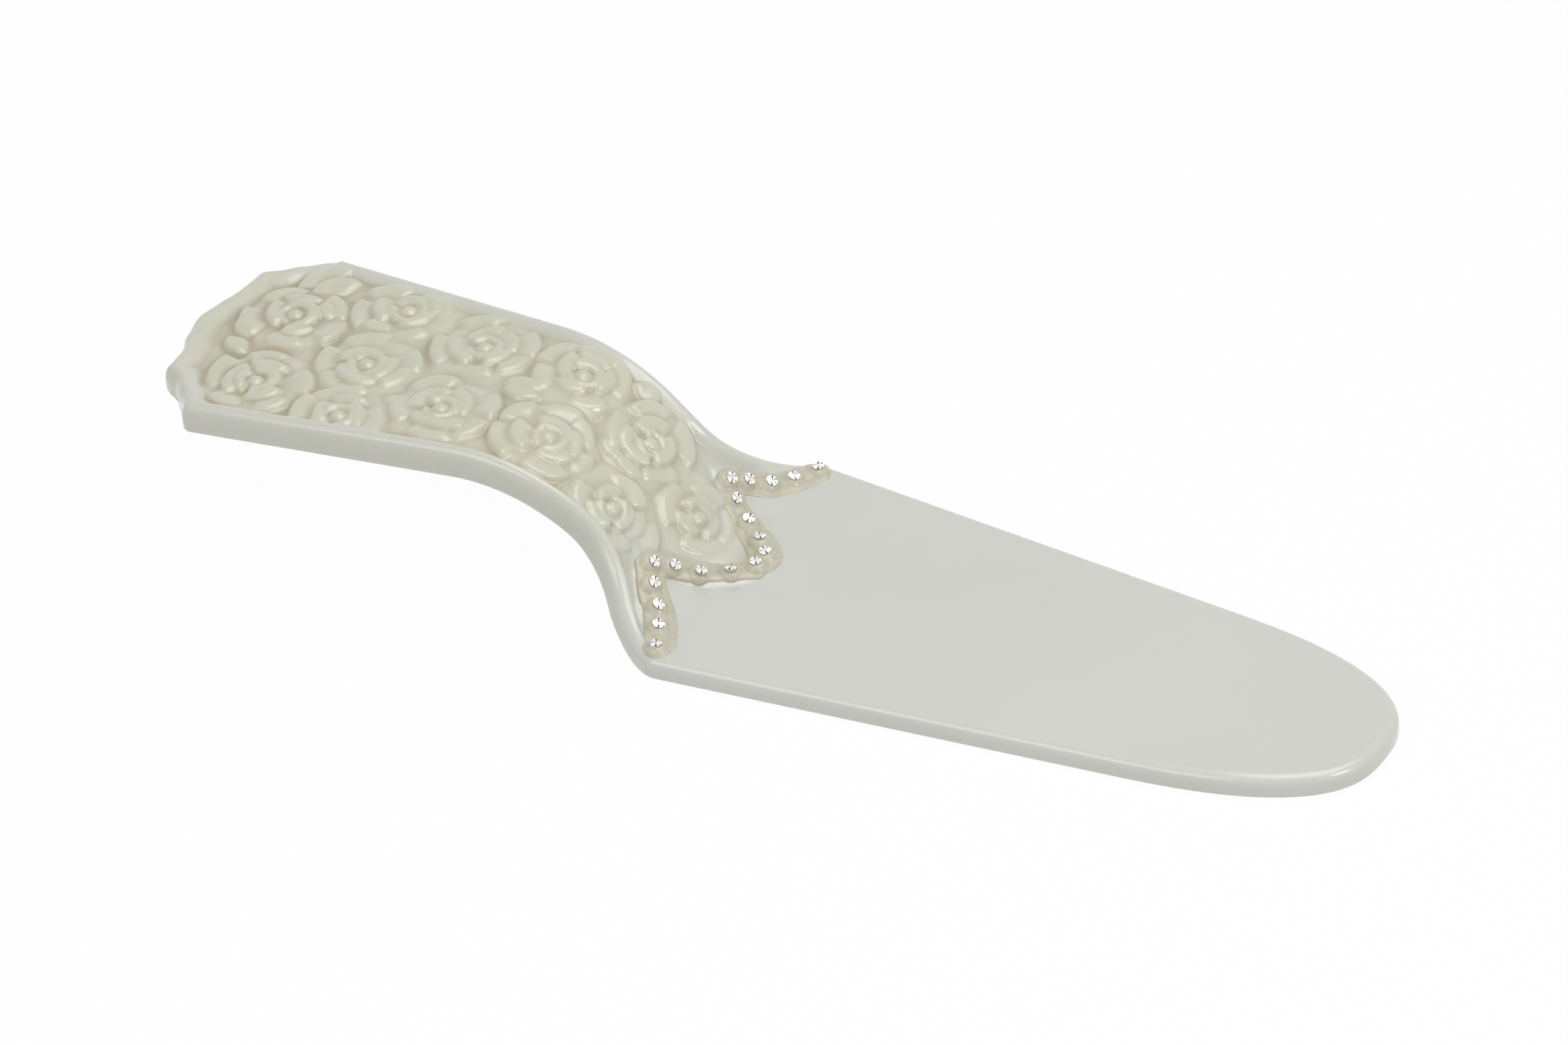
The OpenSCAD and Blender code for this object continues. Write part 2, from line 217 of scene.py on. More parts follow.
def edge_gap(s, y):
    """Distance from the outline's line, measured only near it."""
    gap = np.full(s.shape, GAP_REACH)
    flat_s, flat_y, flat = s.ravel(), y.ravel(), gap.ravel()
    for start in range(0, len(OUTLINE) - 1, PIECE_POINTS):
        piece = OUTLINE[start : start + PIECE_POINTS + 1]
        low, high = piece.min(axis=0) - GAP_REACH, piece.max(axis=0) + GAP_REACH
        within = (flat_s > low[0]) & (flat_s < high[0]) & (flat_y > low[1]) & (flat_y < high[1])
        near = np.flatnonzero(within)
        step = piece[1:] - piece[:-1]
        length = np.maximum((step**2).sum(axis=1), 1e-12)
        for block in np.array_split(near, max(1, len(near) // BLOCK_POINTS)):
            ds, dy = flat_s[block, None] - piece[:-1, 0], flat_y[block, None] - piece[:-1, 1]
            t = np.clip((ds * step[:, 0] + dy * step[:, 1]) / length, 0, 1)
            d = np.hypot(ds - t * step[:, 0], dy - t * step[:, 1]).min(axis=1)
            flat[block] = np.minimum(flat[block], d)
    return flat.reshape(s.shape)


def border_line(y):
    x = [0.0] + [p[1] for p in STONE_SHARES[::-1]]
    v = [0.0] + [p[0] for p in STONE_SHARES[::-1]]
    return ROOT + BORDER_DEPTH * np.interp(np.abs(y) * 2 / SHOULDER_WIDTH, x, v)


print("outline:", len(OUTLINE), "points, handle end", round(CORNER_Y * 2, 1), "mm wide")

# %% [markdown]
# ## The roses
# Each rose on the handle is a flat relief: a round bud, and petals that stand round it like
# shallow scoops with thick rolled lips that catch the light. A petal is written as three
# places on its lip, counted from the bud in millimetres: towards the handle's end, and
# towards the far side. The arc through them is the lip. Outside it the clay drops steeply,
# and inside it falls gently towards the bud. The inner petals stand higher and hide the
# foot of the outer ones, leaving crisp grooves coloured with painted shade and pooled glaze.

# %% Places of the buds and the lips of the petals
# Each rose has its bud's place on the sheet, then its inner, middle and outer petals
ROSES = [
    (
        (262.9, 7.3),
        [
            (3, 3.5, 0.8, 4.5, -2.5, 3.5), (-3.5, 2.5, -4, -0.5, -1.5, -2.6),
            (2.8, 1.5, 2.6, -1, 0.8, -2.6),
        ],
        [
            (6.5, 3, 6.1, 0, 3, -3.6), (-5, -3, -3.4, -5.1, -1, -6), (-4, 5.5, -5.8, 4.3, -6.5, 2.5),
            (5, 5.5, 2, 6.9, -1.5, 6.6),
        ],
        [
            (9.5, 4, 7.6, 7.6, 3.5, 9), (-10.5, 1, -10.8, -2, -10, -5), (11.5, -1, 9.4, -5.6, 6, -8),
            (1, -9.4, -2, -9.3, -5, -8), (-4, 9, -7.4, 6.8, -9, 3.6),
        ],
    ),
    (
        (241.2, 16.9),
        [
            (3.8, 2, 2.5, 4, -0.2, 4.4), (-1.6, 3.4, -2.6, 0.8, -1.6, -1.5),
            (3.8, -0.5, 2.5, -2.6, 0, -3.2),
        ],
        [
            (8, 2, 7.1, -1.2, 4, -4.2), (-4.6, 1.5, -4, -1.8, -1, -4.2),
            (-0.8, 6.4, -3.8, 5.2, -5.3, 2.4),
        ],
        [
            (11.6, 5.2, 8.6, 7.1, 4.5, 7.4), (-4.5, 6.8, -7, 4.3, -7.8, 1), (6, -7, 4, -7.3, 1.5, -6.6),
            (-2, -8, -4.4, -7.4, -6.5, -5.6), (11.8, 0, 11, -3.6, 8.6, -6.8),
        ],
    ),
    (
        (257.7, -17.1),
        [
            (2.5, 4.6, -0.5, 5.6, -3, 3.4), (-3.6, 2, -3, -0.6, -0.8, -2.2),
            (3.4, 2.5, 3.8, 0, 2.2, -2.6),
        ],
        [(5, 4, 6.4, 0.4, 4, -4.6), (-6, -1.5, -4.3, -3.9, -1, -5), (4, 6.3, 0.5, 7.3, -3, 6.4)],
        [
            (6, 8.5, 3.6, 10.4, 0, 10.8), (11, 6, 11.2, 1.6, 8, -4), (-8, 7, -10.3, 4.3, -11, 1),
            (6, -7.4, 3, -8.4, 0, -7.6), (-5, -8, -7.4, -6.5, -9, -4),
        ],
    ),
    (
        (239.2, -3.5),
        [
            (3.6, 1.5, 2, 3.6, -1, 3.8), (-2.2, 3.2, -2.9, 0, -2, -2.8),
            (3.4, -0.5, 2.6, -2.6, 0.4, -3.3),
        ],
        [
            (6.5, 1, 4.7, 4.1, 0, 5.1), (-4.2, 4, -5.3, 0.6, -4.2, -2.8), (4.8, -1.8, 4, -4, 1.6, -5.4),
            (0.5, -5.7, -1.8, -5.7, -3.8, -4.5),
        ],
        [
            (8.5, 7, 6, 10, 2, 11.3), (11, 3, 10.8, -0.6, 9, -4), (-7, 8, -8.9, 6, -9.7, 3.4),
            (-8.8, 1.8, -8.6, -1.4, -7, -4.4), (2, -9.4, -1, -9.8, -4, -8.6),
            (7, -5.5, 5.6, -7.6, 3, -8.8),
        ],
    ),
    (
        (234.9, -22.1),
        [(3.4, 1.6, 1.4, 3.2, -1, 2.8), (-2, 2.4, -3, 0, -2.6, -2.4)],
        [(5.8, 3, 5.1, 0, 3.4, -3), (4, 6, 0.5, 7.5, -2, 6.8), (-1.5, 5, -4, 2.7, -5, -1)],
        [(10.2, 4.5, 10.6, 1, 9, -3), (8.5, 6, 6, 8.6, 2, 9.8), (-6, 5.2, -8.4, 2.2, -9.4, -1.6)],
    ),
    (
        (219.2, 10.6),
        [
            (3.2, 1.6, 1.6, 3.2, -0.8, 3.2), (-1.8, 2.8, -2.8, 0.2, -2, -2.8),
            (2.8, -1.2, 1, -2.8, -1, -3),
        ],
        [
            (4.9, 1.8, 3.9, 5.5, 0.2, 7.4), (-2, 6.6, -4.3, 5, -5.4, 2.2),
            (-5, 0.6, -4.7, -2, -3, -4.2), (8, 1, 6, -3, 1.8, -5.3),
        ],
        [
            (9.6, 7.6, 7, 10.1, 3, 10.8), (-6.6, 8.6, -8.9, 5.7, -9.8, 2.4),
            (-9.6, 0, -9, -3.2, -7, -5.4), (2.6, -8.8, -0.5, -8.8, -4.5, -7.2),
            (11.6, 0.5, 10.2, -3.7, 7.4, -6.8),
        ],
    ),
    (
        (216.4, -12.2),
        [
            (3, 2.2, 0.8, 3.6, -1.6, 2.8), (-2.2, 1.8, -2.8, -0.6, -1.4, -2.4),
            (2.8, -1, 1.4, -2.6, -0.6, -3),
        ],
        [
            (7, 0.2, 6, 4.2, 1.6, 6), (-0.4, 7.6, -3.8, 4.7, -4.8, 0.8),
            (0, -5.3, -3.2, -5.1, -6.6, -3.6), (4.6, -3, 3.1, -4.7, 0.8, -5.5),
        ],
        [
            (9.8, 6.2, 7.6, 9.6, 3, 10.8), (10.8, 1, 9.4, -3, 6.6, -5.6),
            (2, -9.1, -1.6, -9.3, -5.4, -8), (-7.6, -6, -9.7, -3.9, -10.6, -0.6),
            (-7.8, 9, -9.8, 6.1, -10.4, 2.6),
        ],
    ),
    (
        (196.0, 11.0),
        [(3.2, 2.4, 1, 4.2, -1.8, 3.4), (-2.4, 3, -3.2, 0.4, -2, -2), (2.8, -1, 1.2, -2.4, -1, -2.6)],
        [
            (5.4, 4.6, 5.8, 1.4, 3.6, -1.8), (3.4, 6.4, 0, 7, -3, 6), (-4, 4.6, -5.6, 1.6, -4.6, -1.2),
            (3.4, -3.8, 1, -4.9, -1.8, -3.8),
        ],
        [
            (11, 1.6, 10.1, 5.4, 7, 7.8), (-5, 8, -7.9, 5.1, -8.6, 1),
            (9.6, -1.6, 8.5, -4.7, 5.6, -6.8), (-1.6, -7.4, -4.9, -6.9, -7.6, -4.4),
            (5, 8.2, 0.5, 9, -3.6, 8.4),
        ],
    ),
    (
        (192.2, -9.7),
        [
            (-3.4, 1.4, -3.2, -0.8, -0.8, -2.8), (2.2, 0.6, 2.2, -1, 1.2, -2.4),
            (2.6, 1.6, 0.4, 2.8, -2.2, 1.8),
        ],
        [
            (7.2, 0.4, 6.3, -3.6, 3, -5.6), (-0.8, -4.9, -4.2, -4.1, -6.2, -2),
            (4, 4.4, 0, 5.5, -4, 2.6), (-3.6, 5, -5.8, 2.8, -6.6, -0.4),
        ],
        [
            (11.2, 1, 10.7, 4.6, 8, 6.8), (11.2, -2, 9.4, -6.6, 5.4, -9.4), (5, 7.6, 2.6, 10, -1, 10.6),
            (-9.4, 2, -9.8, 0, -8.8, -2.6), (0, -9.4, -4.6, -9, -7.6, -6),
            (-2.4, 9.4, -5.7, 7.6, -7.6, 4.6),
        ],
    ),
    (
        (175.7, 6.3),
        [
            (-0.8, 3.4, -2, 1.4, -1.9, -0.8), (2, 1.6, 0.6, 2.8, -0.6, 2.6),
            (1.8, -1.4, 0, -2.6, -1.6, -2),
        ],
        [
            (4.6, 1.4, 3.8, 5, 0.2, 7.1), (-2.4, 5, -4.6, 1.8, -3.6, -2),
            (3.4, -5, 0.6, -5.8, -2, -4.8), (6, -1, 5.2, -3.6, 3.4, -5),
        ],
        [
            (8, 5, 6.1, 8.8, 2, 10.4), (-2, 10.6, -6.4, 9, -8.4, 4.6),
            (-8.4, -1.6, -6.5, -4.7, -3.6, -7), (2.6, -9, 0, -9.4, -2.4, -8.2),
            (9.4, 1, 8.7, -3, 5.6, -7),
        ],
    ),
    (
        (172.3, -14.1),
        [
            (1.8, 1.6, 0.2, 2.4, -1.2, 1.8), (-0.8, 3.2, -2.3, 1.2, -2.2, -1),
            (2.8, -1.4, 0.8, -2.6, -1.4, -2),
        ],
        [
            (4, 0.4, 4.1, 2.6, 1.6, 4.6), (-2.4, 3.6, -4.2, 0.9, -3.6, -2),
            (4.2, -3, 1.4, -4.8, -1.2, -4.3),
        ],
        [
            (4, 7.4, 0, 9.1, -4, 7.2), (-5.2, 4.8, -6.9, 2, -6.4, -1.2), (9, -1, 7.7, -3.7, 5.8, -5.4),
            (-3.8, -6, -6, -5.4, -7.6, -3.4),
        ],
    ),
    (
        (157.9, 2.1),
        [
            (1.8, 1.4, 0.4, 2.4, -1, 2), (-0.8, 2.6, -1.9, 0.6, -1.5, -1.6),
            (1.6, -1.2, 0.4, -2.2, -1, -1.8),
        ],
        [(4.1, 0.4, 2.9, 3.5, -0.8, 6), (-2, 4, -4.1, 1.6, -3.6, -1.2), (4, -3.7, 1, -4.5, -1.2, -3.4)],
        [
            (5, 5, 2.9, 8, -1, 9.4), (-3.6, 8, -6.2, 4.8, -7, 0.6),
            (-7.4, -1.4, -5.2, -5.2, -1.4, -7.4), (8.4, 1.4, 7.8, -3.8, 4.6, -7),
        ],
    ),
]
# Single lips between the roses, from the sheet's own zero: a rose cut off by the far corner,
# a pair of small leaves, and a few fillers
LOOSE = [
    (268, 18.4, 267.4, 23.4, 261.8, 26.3), (263.9, 17.2, 263, 21.8, 258.4, 23.5),
    (208.4, 3, 205.6, 4.3, 202.4, 3), (207.6, 0.2, 204.8, -1, 201.6, 0.2),
    (273.2, 3, 272.4, 0, 269.6, -1.6), (271.8, -4.4, 270.6, -6.4, 268, -7),
    (229, -12, 226.4, -13.4, 224, -12.6), (186, 17.4, 184, 18.6, 181.6, 17.6),
    (183, -1.2, 181, -2.4, 179, -1.4), (163.6, -8.6, 161.4, -10.6, 160.4, -13.4),
]
ROSE_HEIGHT, BUD_RADIUS, BUD_GROOVE = 2.25, 1.75, 0.3
LIP_DROP, LIP_WIDTH, SCOOP, SCOOP_REACH, LIP_END, LIP_TILT = 1.2, 4.2, 0.58, 7.0, 2.4, 0.1
LIP_CREST, FOOT_FALL, TUCK_LIMIT = 0.4, 3.0, 1.2
GROOVE_OFFSET, GROOVE_WIDTH, BUD_FOOT, BUD_RISE = 0.25, 0.6, 0.55, 0.5
MOUND, MOUND_REACH, MOUND_FALL = 0.36, 13.0, 4.0
WHORL_SHARES, LOWER_SHARE, LOOSE_SHARE = (0.95, 0.84, 0.66), 0.05, 0.55
PETAL_REACH, LOOSE_REACH = 13, 7


# %% The relief of a petal, a bud and a rose
def circle_through(lip):
    """Centre and radius of the arc through three places."""
    (ax, ay), (bx, by), (cx, cy) = lip
    d = 2 * (ax * (by - cy) + bx * (cy - ay) + cx * (ay - by))
    a2, b2, c2 = ax * ax + ay * ay, bx * bx + by * by, cx * cx + cy * cy
    x = (a2 * (by - cy) + b2 * (cy - ay) + c2 * (ay - by)) / d
    y = (a2 * (cx - bx) + b2 * (ax - cx) + c2 * (bx - ax)) / d
    return x, y, math.hypot(ax - x, ay - y)


def turned_from(angle, start):
    return (angle - start + math.pi) % (2 * math.pi) - math.pi


def petal(s, y, lip, height, tilt=0.0):
    """Height of one petal: a rolled lip with a scoop behind it, one end tucked lower."""
    cs, cy, radius = circle_through(lip)
    far, angle = np.hypot(s - cs, y - cy), np.arctan2(y - cy, s - cs)
    first, middle, last = (math.atan2(py - cy, px - cs) for px, py in lip)
    side, to_first, to_last = (turned_from(a, middle) for a in (angle, first, last))
    reach = np.where(side * to_first > 0, abs(to_first), abs(to_last))
    past = np.clip(np.abs(side) - reach, 0, None) * np.minimum(far, radius) / LIP_END
    out = far - radius
    drop = np.sqrt(np.clip(1 - (np.clip(out, 0, None) / LIP_DROP) ** 2, 0, 1))
    behind = 1 - (1 - SCOOP) * ramp((-out - LIP_CREST) / LIP_WIDTH)
    foot = 1 - ramp((-out - SCOOP_REACH) / FOOT_FALL)
    tucked = 1 + tilt * np.clip(side / reach, -TUCK_LIMIT, TUCK_LIMIT)
    return height * tucked * drop * behind * foot * (1 - ramp(past))


def with_bud(h, s, y, place):
    """A round bud in a groove of its own."""
    far = np.hypot(s - place[0], y - place[1])
    h = h * (1 - BUD_GROOVE * np.exp(-(((far - BUD_RADIUS - GROOVE_OFFSET) / GROOVE_WIDTH) ** 2)))
    ball = ROSE_HEIGHT * (BUD_FOOT + BUD_RISE * np.sqrt(np.clip(1 - (far / BUD_RADIUS) ** 2, 0, 1)))
    return np.maximum(h, np.where(far < BUD_RADIUS, ball, 0.0))


def lay_petal(h, s, y, lip, origin, reach, height, tilt=0.0):
    """Lays a petal over what is there, worked out only near its lip."""
    points = [(origin[0] + lip[i], origin[1] + lip[i + 1]) for i in (0, 2, 4)]
    near = np.hypot(s - points[1][0], y - points[1][1]) < reach
    h[near] = np.maximum(h[near], petal(s[near], y[near], points, height, tilt))


def relief(s, y):
    h = np.zeros(s.shape)
    for place, *_ in ROSES:
        mound = MOUND * ramp((MOUND_REACH - np.hypot(s - place[0], y - place[1])) / MOUND_FALL)
        h = np.maximum(h, ROSE_HEIGHT * mound)
    petals = 0
    for place, *whorls in ROSES:
        for lips, share in zip(whorls, WHORL_SHARES):
            for k, lip in enumerate(lips):
                # every other petal of a whorl lies lower, and its tucked end changes sides
                height = ROSE_HEIGHT * (share - LOWER_SHARE * (k % 2))
                lay_petal(h, s, y, lip, place, PETAL_REACH, height, LIP_TILT * (-1) ** petals)
                petals += 1
        h = with_bud(h, s, y, place)
    for lip in LOOSE:
        lay_petal(h, s, y, lip, (0, 0), LOOSE_REACH, ROSE_HEIGHT * LOOSE_SHARE)
    print("petals:", petals + len(LOOSE))
    return h


# %% [markdown]
# ## The casting
# A grid is the natural start for a bent sheet. Its rows run across the server, close
# together where the roses are and wide apart on the plain blade, and its columns go once
# round the section: upper face, near wall, underside, far wall. Each vertex is moved to its
# place on the flat sheet, lifted by the relief and then bent. The seam and the tip are
# merged, and at the handle's end the last rows go down the end wall and meet the underside,
# so the shell is closed.

# %% Rows and columns of the grid
def spaced(start, end, step):
    count = max(2, int(round((end - start) / step)) + 1)
    return np.linspace(start, end, count)


NOSE_ROWS, ROLL_ROWS, WALL_ROWS = 26, 8, 4
BLADE_STEP, ROSE_STEP, END_STEP, ROSE_LEAD, END_LEAD = 6.0, 0.38, 0.4, 2, 6
rows = np.concatenate([
    NOSE_LENGTH * np.linspace(0, 1, NOSE_ROWS) ** 2,
    spaced(NOSE_LENGTH, ROOT - ROSE_LEAD, BLADE_STEP)[1:],
    spaced(ROOT - ROSE_LEAD, SHEET - END_LEAD, ROSE_STEP)[1:],
    spaced(SHEET - END_LEAD, SHEET - UPPER_ROLL, END_STEP)[1:],
    SHEET - UPPER_ROLL * (1 - np.sin(np.linspace(0, math.pi / 2, ROLL_ROWS)[1:])),
    np.full(WALL_ROWS, SHEET),
])
# the last rows stay at the end and go down its wall
DOWN_WALL = np.linspace(0, 1, WALL_ROWS + 1)[1:]
WALL_SHARES = np.concatenate([np.zeros(len(rows) - WALL_ROWS), DOWN_WALL])[:, None]
ROLL_STEPS = UPPER_ROLL * (1 - np.cos(np.linspace(0, math.pi / 2, ROLL_ROWS)))
RIM_STEPS = [2.55, 2.9, 3.25, 3.6]
UPPER_EDGE = np.concatenate([ROLL_STEPS, RIM_STEPS])
UPPER_FIELD, EVERY, NARROWEST = 144, 4, 9.0
CORNER_ZONE, OUTER_START, OUTER_REACH = 16, 0.985, 0.125


def column_shares(half):
    """Shares of the half width, from the far edge to the near one."""
    near = 1 - UPPER_EDGE[None, :] / np.maximum(half, NARROWEST)[:, None]
    middle = near[:, -1:] * np.linspace(1, -1, UPPER_FIELD + 1)[None, 1:-1]
    return np.concatenate([near, middle, -near[:, ::-1]], axis=1)


def across(share):
    """Places across: only the outermost columns follow the rounded corners."""
    left = np.clip(SHEET - rows, 0, None)[:, None]
    inner = half_width(rows - scallop(rows) * CORNER_SETBACK)[:, None]
    inner = inner - CORNER_RADIUS * np.clip(1 - left / CORNER_ZONE, 0, 1)
    start = OUTER_START - OUTER_REACH * np.sqrt(np.clip(left / CORNER_RADIUS, 0, 1))
    outermost = ramp((np.abs(share) - start) / (1 - start))
    return share * inner + np.sign(share) * outermost * (half[:, None] - inner)


half = np.maximum(row_half(rows), 0.0)
upper_share = column_shares(half)
# the plain underside takes every column at its edges and every fourth between them
EDGE = len(UPPER_EDGE)
FIELD_END = EDGE - 1 + UPPER_FIELD
PICKED = [
    *range(EDGE),
    *range(EDGE - 1 + EVERY, FIELD_END, EVERY),
    *range(FIELD_END, FIELD_END + EDGE),
]
lower_share = upper_share[:, PICKED][:, ::-1]
upper_y, lower_y = across(upper_share), across(lower_share)
print("grid:", len(rows), "rows,", upper_y.shape[1], "upper and", lower_y.shape[1], "lower columns")


# %% Heights of both faces
CORNER_ROWS, ROUNDING = 4, 1e-6
END_REACH, END_BLEND, FAR_START, FAR_BLEND = 16, 10, 4, 8
SHADE_POOL_DEPTH, SHADE_POOL_LESS, SHADE_POOL_START, SHADE_POOL_BLEND, BROAD_PASSES = 0.6, 0.3, 238, 26, 60


def along(share):
    return rows[:, None] - scallop(rows)[:, None] * setback(share)


def inside_gap(s, y):
    """Distance from the edge, and none for what the outline leaves out at a corner."""
    gap = edge_gap(s, y)
    past_end = (np.abs(y) <= CORNER_Y) & (s > SHEET - setback(y / CORNER_Y))
    side = row_half(np.minimum(s + CORNER_SETBACK * scallop(rows)[:, None], SHEET))
    past_side = (np.abs(y) > CORNER_Y) & (np.abs(y) > side + ROUNDING)
    last_rows = rows[:, None] > SHEET - CORNER_ROWS
    gap[last_rows & (past_end | past_side)] = 0.0
    gap[:, 0] = gap[:, -1] = 0.0
    gap[rows > SHEET - ROUNDING] = 0.0
    return gap


def soften(h, passes=2):
    """A light blur, as glaze rounds off every edge."""
    for _ in range(passes):
        p = np.pad(h, 1, mode="edge")
        h = (4 * h + p[:-2, 1:-1] + p[2:, 1:-1] + p[1:-1, :-2] + p[1:-1, 2:]) / 8
    return h


def lift(s, y):
    crest = STONE_SHARES[4][1] * SHOULDER_WIDTH / 2
    return (
        TONGUE_RISE * ramp((s - border_line(y) + BAND_WIDTH) / BAND_WIDTH)
        * ramp((crest - np.abs(y)) / BAND_WIDTH)
        * (1 - ramp((s - ROOT - BORDER_DEPTH) / BORDER_DEPTH))
    )


upper_s, lower_s = along(upper_share), along(lower_share)
upper_gap, lower_gap = inside_gap(upper_s, upper_y), inside_gap(lower_s, lower_y)
near_end = ramp((rows - SHEET + END_REACH) / END_BLEND)[:, None]
rim_width = RIM + (END_RIM - RIM) * near_end
side_slope = RIM_SLOPE + (FAR_SLOPE - RIM_SLOPE) * ramp((upper_y - FAR_START) / FAR_BLEND)
rim_slope = side_slope + (END_SLOPE - side_slope) * near_end
past_border = upper_s - border_line(upper_y)
field = ramp((upper_gap - rim_width) / rim_slope) * ramp(past_border / BAND_WIDTH)
flowers = soften(relief(upper_s, upper_y)) * field
upper_h = lift(upper_s, upper_y) - upper_edge(upper_s, upper_gap) - FIELD_DEPTH * field + flowers
thick = BLADE_THICK + (HANDLE_THICK - BLADE_THICK) * ramp((lower_s - BLADE_RUN) / SHOULDER_RUN)
under_handle = ramp((lower_s - TOE_END) / SLOPE_LENGTH)
hollow = HOLLOW * ramp((lower_gap - SKIRT) / HOLLOW_SLOPE) * under_handle
lower_h = rolled(lower_gap, LOWER_ROLL) - thick + hollow
upper_h = upper_h - WALL_SHARES * (HANDLE_THICK - HANDLE_ROLL_DEPTH - LOWER_ROLL)

# painted shade, with the beige of pooled glaze: darker where low places lie beside high ones, and most
# of all near the end
broad = soften(upper_h, BROAD_PASSES)
deep_enough = SHADE_POOL_DEPTH - SHADE_POOL_LESS * ramp((upper_s - SHADE_POOL_START) / SHADE_POOL_BLEND)
shade_and_pool = np.clip((broad - upper_h) / deep_enough, 0, 1) * field
print("relief:", round(float(flowers.max()), 2), "mm at most")

# %% The grid bent into the casting
NECK_PEARL, NECK_BLEND, END_PEARL, END_PEARL_REACH, END_PEARL_BLEND = 0.35, 25, 0.4, 14, 8
BORDER_PEARL, BORDER_BLEND = 0.45, 14
# reach in millimetres and rounds of smoothing
FAR_CORNER, NEAR_CORNER = (4.6, 40), (2.6, 10)
ALL_AXES = {"use_axis_x": True, "use_axis_y": True, "use_axis_z": True}


def ring(upper, lower):
    """The columns of both faces in one row, with the first again as the seam."""
    return np.concatenate([upper, lower, upper[:, :1]], axis=1)


ring_s = ring(upper_s, lower_s)
places = bend(ring_s, ring(upper_y, lower_y), ring(upper_h, lower_h))
none_below = np.zeros(lower_y.shape)
ring_shade_and_pool = ring(shade_and_pool, none_below)
on_handle = (
    NECK_PEARL * ramp((ring_s - SHOULDER) / NECK_BLEND)
    + END_PEARL * ramp((ring_s - SHEET + END_PEARL_REACH) / END_PEARL_BLEND)
)
past_band = ramp((past_border - BAND_WIDTH) / BORDER_BLEND)
on_field = field * (BORDER_PEARL + (1 - BORDER_PEARL) * past_band)
ring_pearl = np.maximum(on_handle, ring(on_field, none_below))


def bent_casting():
    along_count, round_count = places.shape[0] - 1, places.shape[1] - 1
    bm = bmesh.new()
    bmesh.ops.create_grid(bm, x_segments=along_count, y_segments=round_count, size=0.5)
    # this attribute carries the painted shade of the grooves, with the beige of pooled glaze, to the
    # material
    shade_and_pool_layer = bm.verts.layers.float.new("shade_and_pool")
    pearl_layer = bm.verts.layers.float.new("pearl")
    end_row = {}
    for v in bm.verts:
        i, j = round((v.co.x + 0.5) * along_count), round((v.co.y + 0.5) * round_count)
        v.co = places[i, j]
        v[shade_and_pool_layer], v[pearl_layer] = ring_shade_and_pool[i, j], ring_pearl[i, j]
        if i == along_count:
            end_row[j] = v
    # the underside's wide last edges are split at the upper face's places, so the end closes
    for k, (column, following) in enumerate(zip(PICKED[:0:-1], PICKED[-2::-1])):
        here, last = (end_row[upper_y.shape[1] + k + i] for i in (0, 1))
        for between in range(column - 1, following, -1):
            edge = bm.edges.get((here, last))
            here = bmesh.utils.edge_split(edge, here, 0.5)[1]
            here.co = end_row[between].co
    bmesh.ops.remove_doubles(bm, verts=bm.verts, dist=1e-7)
    bmesh.ops.dissolve_degenerate(bm, edges=bm.edges, dist=1e-7)
    # the glaze fills the notch where each rounded corner meets the slanted end
    for side, (reach, rounds) in ((CORNER_Y, FAR_CORNER), (-CORNER_Y, NEAR_CORNER)):
        notch = Vector(bend(SHEET - CORNER_SETBACK, side, -HANDLE_THICK / 2)).xy
        near = [v for v in bm.verts if (v.co.xy - notch).length < reach * MM]
        for _ in range(rounds):
            bmesh.ops.smooth_vert(bm, verts=near, factor=0.5, **ALL_AXES)
    bmesh.ops.recalc_face_normals(bm, faces=bm.faces)
    for f in bm.faces:
        f.smooth = True
    return bm


def as_piece(bm, name):
    mesh = bpy.data.meshes.new(name)
    bm.to_mesh(mesh)
    bm.free()
    piece = bpy.data.objects.new(name, mesh)
    bpy.context.scene.collection.objects.link(piece)
    return piece


bm = bent_casting()
print("open edges left:", sum(e.is_boundary for e in bm.edges), "faces:", len(bm.faces))
casting = as_piece(bm, "glazed_casting")
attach(casting, "root")
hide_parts("porcelain_body")

# %% [markdown]
# ## Glaze
# Porcelain is a white body under a clear glaze, so the finish is a soft-coloured base with a
# thin glossy coat. The blade has a cool satin white. Over the roses it is a pearl glaze, a
# little yellower, with painted shade in the grooves that also stands for the beige of pooled
# glaze. The casting's own attributes say where the roses are and where that shade is painted.

# %% Helpers for materials
def new_material(name):
    material = bpy.data.materials.new(name)
    material.use_nodes = True
    nodes = material.node_tree.nodes
    nodes.clear()
    shader = nodes.new("ShaderNodeBsdfPrincipled")
    output = nodes.new("ShaderNodeOutputMaterial")
    material.node_tree.links.new(shader.outputs["BSDF"], output.inputs["Surface"])
    return material, shader


def add(material, kind, **values):
    node = material.node_tree.nodes.new(kind)
    for key, value in values.items():
        setattr(node, key, value)
    return node


def join(material, source, target):
    material.node_tree.links.new(source, target)


def blend_colours(material, share, first, second):
    """Mixes two colours or sockets by a share."""
    mix = add(material, "ShaderNodeMix", data_type="RGBA")
    for value, socket in ((share, 0), (first, 6), (second, 7)):
        if isinstance(value, bpy.types.NodeSocket):
            join(material, value, mix.inputs[socket])
        else:
            mix.inputs[socket].default_value = value
    return mix.outputs[2]


def mottle(material, scale, detail=3.0):
    """A soft cloud on object coordinates."""
    coordinates = add(material, "ShaderNodeTexCoord")
    noise = add(material, "ShaderNodeTexNoise")
    noise.inputs["Scale"].default_value = scale
    noise.inputs["Detail"].default_value = detail
    join(material, coordinates.outputs["Object"], noise.inputs["Vector"])
    return noise


def stretched(material, value, low, high):
    span = add(material, "ShaderNodeMapRange")
    span.inputs["From Min"].default_value = low
    span.inputs["From Max"].default_value = high
    join(material, value, span.inputs["Value"])
    return span.outputs["Result"]


